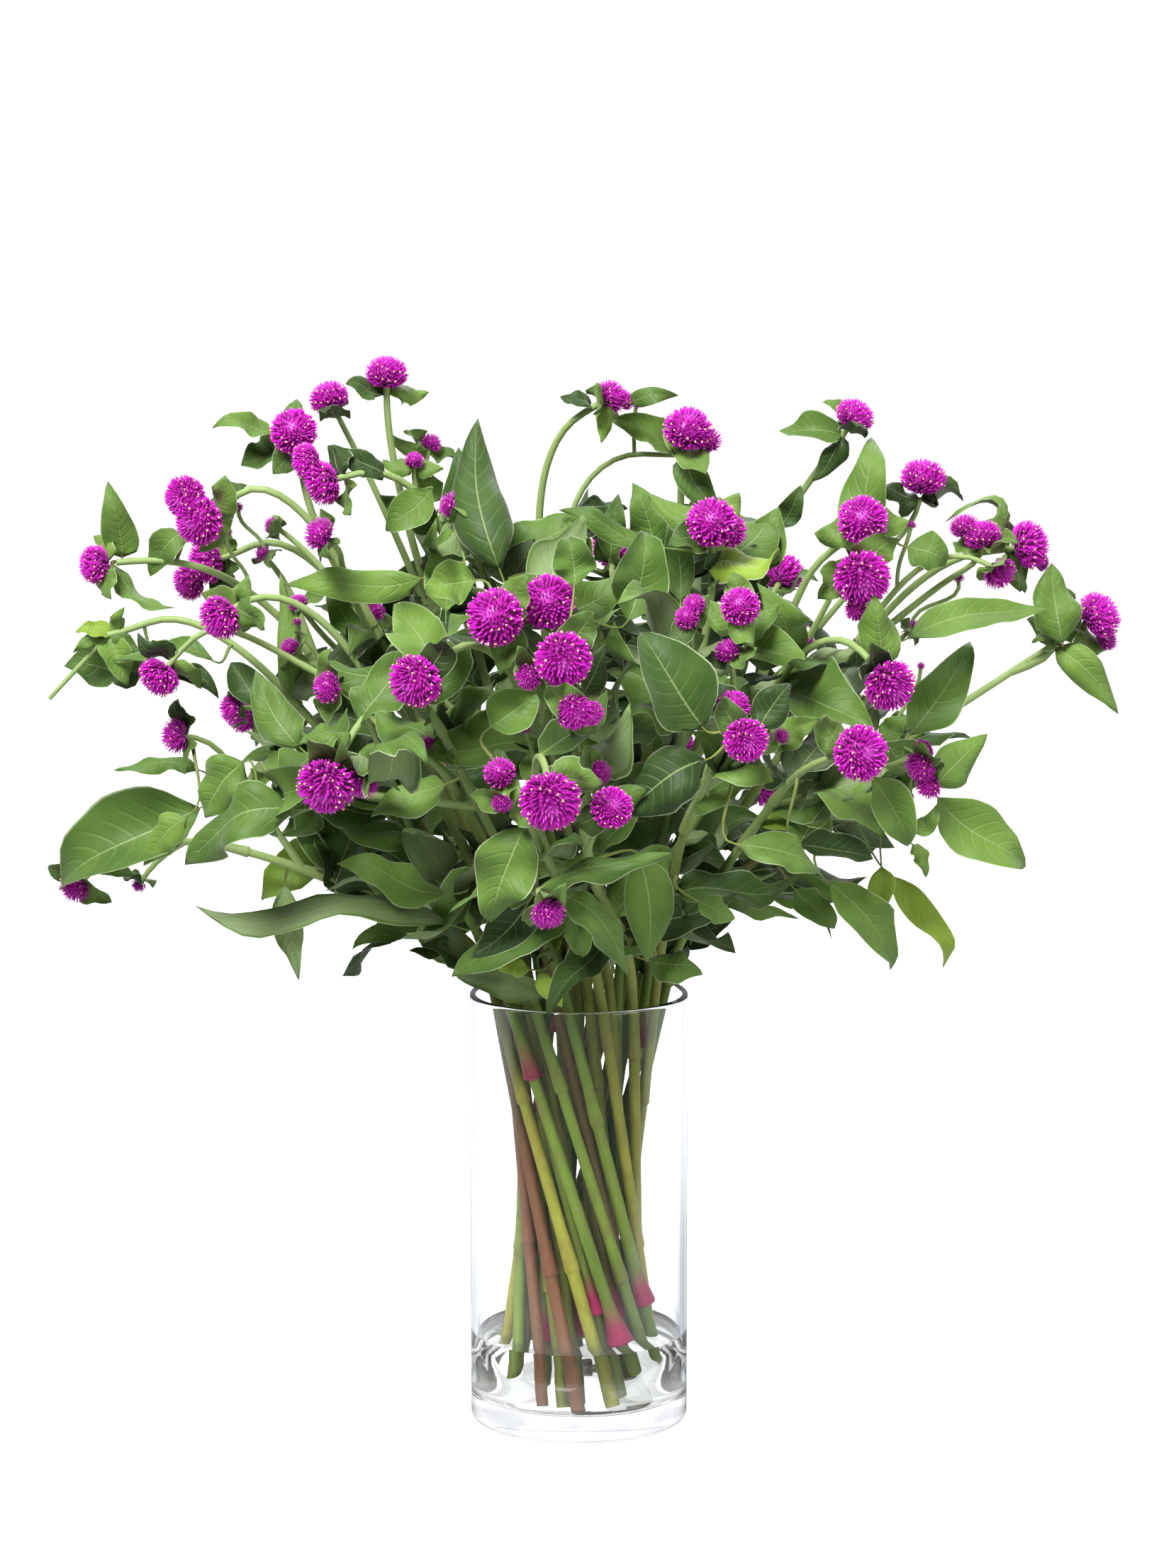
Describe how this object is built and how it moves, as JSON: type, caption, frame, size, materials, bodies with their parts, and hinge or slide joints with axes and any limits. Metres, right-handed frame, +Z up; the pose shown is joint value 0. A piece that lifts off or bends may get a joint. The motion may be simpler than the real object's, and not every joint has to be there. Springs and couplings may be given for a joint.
{
  "type": "globe amaranth bouquet in glass vase",
  "caption": "Hand-tied, all-round arrangement of fresh globe amaranth stems with leaves and round magenta heads, standing in water in a straight clear glass cylinder vase.",
  "frame": {"origin": "centre of the vase's flat foot, on the surface it stands on", "axes": "+Z up along the vase's axis, -Y towards the viewer of the picture, +X to the viewer's right"},
  "size_m": [0.4841, 0.3429, 0.4907],
  "materials": {
    "glass": "polished clear soda-lime glass",
    "water": "clear water",
    "foliage": "fresh, softly hairy stems and leaves",
    "blooms": "papery magenta bracts"
  },
  "bodies": {
    "root": {"vase": "glass", "water": "water", "stem_01": "foliage", "stem_02": "foliage", "stem_03": "foliage", "stem_04": "foliage", "stem_05": "foliage", "stem_06": "foliage", "stem_07": "foliage", "stem_08": "foliage", "stem_09": "foliage", "stem_10": "foliage", "stem_11": "foliage", "stem_12": "foliage", "stem_13": "foliage", "stem_14": "foliage", "stem_15": "foliage", "stem_16": "foliage", "stem_17": "foliage", "stem_18": "foliage", "stem_19": "foliage", "stem_20": "foliage", "stem_21": "foliage", "stem_22": "foliage", "stem_23": "foliage", "stem_24": "foliage", "stem_25": "foliage", "stem_26": "foliage", "stem_27": "foliage", "stem_28": "foliage", "stem_29": "foliage", "stem_30": "foliage", "bloom_01": "blooms", "bloom_02": "blooms", "bloom_03": "blooms", "bloom_04": "blooms", "bloom_05": "blooms", "bloom_06": "blooms", "bloom_07": "blooms", "bloom_08": "blooms", "bloom_09": "blooms", "bloom_10": "blooms", "bloom_11": "blooms", "bloom_12": "blooms", "bloom_13": "blooms", "bloom_14": "blooms", "bloom_15": "blooms", "bloom_16": "blooms", "bloom_17": "blooms", "bloom_18": "blooms", "bloom_19": "blooms", "bloom_20": "blooms", "bloom_21": "blooms", "bloom_22": "blooms", "bloom_23": "blooms", "bloom_24": "blooms", "bloom_25": "blooms", "bloom_26": "blooms", "bloom_27": "blooms"}
  },
  "joints": []
}
